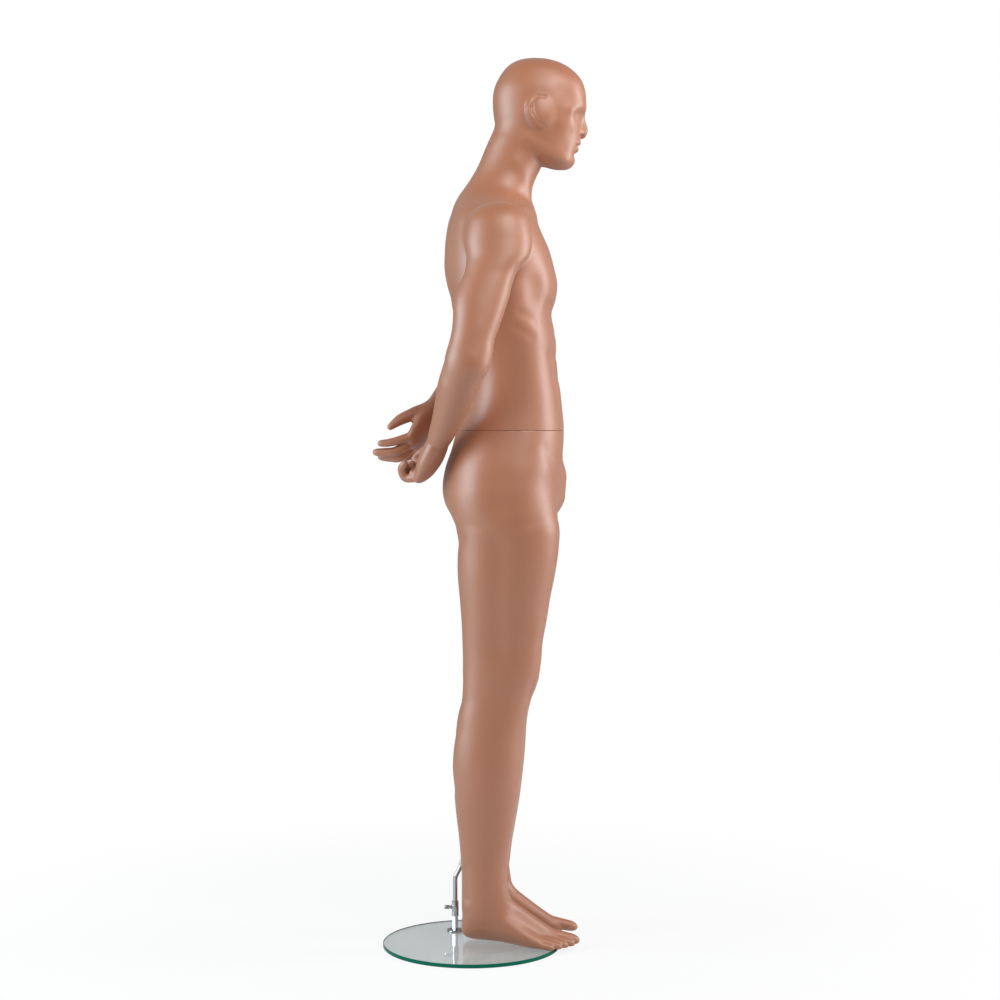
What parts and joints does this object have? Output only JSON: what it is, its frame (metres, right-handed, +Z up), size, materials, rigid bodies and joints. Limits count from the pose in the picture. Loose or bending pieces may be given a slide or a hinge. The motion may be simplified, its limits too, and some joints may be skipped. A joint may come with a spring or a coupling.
{
  "type": "display mannequin",
  "caption": "Standing display mannequin with hands behind the back, in moulded shells joined at waist, shoulders and wrists, held by a bent calf rod on a round glass base.",
  "frame": {"origin": "centre of the underside of the glass base, on the floor", "axes": "+Z up, +X to the figure's left, +Y to the figure's back, so the figure faces -Y"},
  "size_m": [0.578, 0.4601, 1.901],
  "materials": {
    "skin_paint": "satin skin-tone paint on moulded fibreglass",
    "base_glass": "clear float glass with a polished green edge",
    "chrome": "bright chrome plate",
    "steel": "bright zinc plate",
    "plywood": "bare birch plywood",
    "nylon": "white nylon",
    "gasket": "clear soft vinyl"
  },
  "bodies": {
    "base": {"glass_base": "base_glass", "bolt_bush": "nylon", "base_bolt": "steel", "flange_gasket": "gasket", "base_flange": "chrome", "coupling_nut": "chrome", "rod_socket": "chrome"},
    "wing": {"wing_screw": "chrome"},
    "rod": {"support_rod": "chrome"},
    "lower": {"lower_body_shell": "skin_paint", "calf_sleeve": "steel", "lower_waist_board": "plywood", "waist_socket": "steel", "waist_socket_screws": "steel"},
    "torso": {"torso_shell": "skin_paint", "torso_waist_board": "plywood", "waist_spigot": "steel", "waist_spigot_screws": "steel", "right_shoulder_socket": "steel", "left_shoulder_socket": "steel", "right_socket_screws": "steel", "left_socket_screws": "steel"},
    "right_arm": {"right_arm_shell": "skin_paint", "right_shoulder_stud": "steel", "right_stud_screws": "steel", "right_wrist_socket": "steel"},
    "left_arm": {"left_arm_shell": "skin_paint", "left_shoulder_stud": "steel", "left_stud_screws": "steel", "left_wrist_socket": "steel"},
    "right_hand": {"right_hand": "skin_paint", "right_wrist_stud": "steel"},
    "left_hand": {"left_hand": "skin_paint", "left_wrist_stud": "steel"}
  },
  "joints": [
    {"name": "wing_screw_turn", "type": "hinge", "parent": "base", "child": "wing", "pos_m": [0.092, 0.0495, 0.06], "axis": [0, 1, 0], "continuous": true},
    {"name": "rod_swivel", "type": "hinge", "parent": "base", "child": "rod", "pos_m": [0.092, 0.037, 0.06], "axis": [0, 0, 1], "range_deg": [-25, 25]},
    {"name": "figure_lift", "type": "slide", "parent": "rod", "child": "lower", "axis": [0, -0.4478, 0.8942], "range_m": [0, 0.06]},
    {"name": "torso_lift", "type": "slide", "parent": "lower", "child": "torso", "axis": [0, 0, 1], "range_m": [0, 0.07]},
    {"name": "right_arm_swing", "type": "hinge", "parent": "torso", "child": "right_arm", "pos_m": [-0.148, -0.057, 1.508], "axis": [1, 0, 0], "range_deg": [0, 30]},
    {"name": "left_arm_swing", "type": "hinge", "parent": "torso", "child": "left_arm", "pos_m": [0.196, -0.057, 1.508], "axis": [1, 0, 0], "range_deg": [0, 30]},
    {"name": "right_hand_turn", "type": "hinge", "parent": "right_arm", "child": "right_hand", "pos_m": [-0.098, 0.062, 1.097], "axis": [0.687, 0.2862, -0.6679], "range_deg": [-15, 15]},
    {"name": "left_hand_turn", "type": "hinge", "parent": "left_arm", "child": "left_hand", "pos_m": [0.122, 0.078, 1.157], "axis": [-0.8156, 0.3738, -0.4418], "range_deg": [-15, 15]}
  ]
}
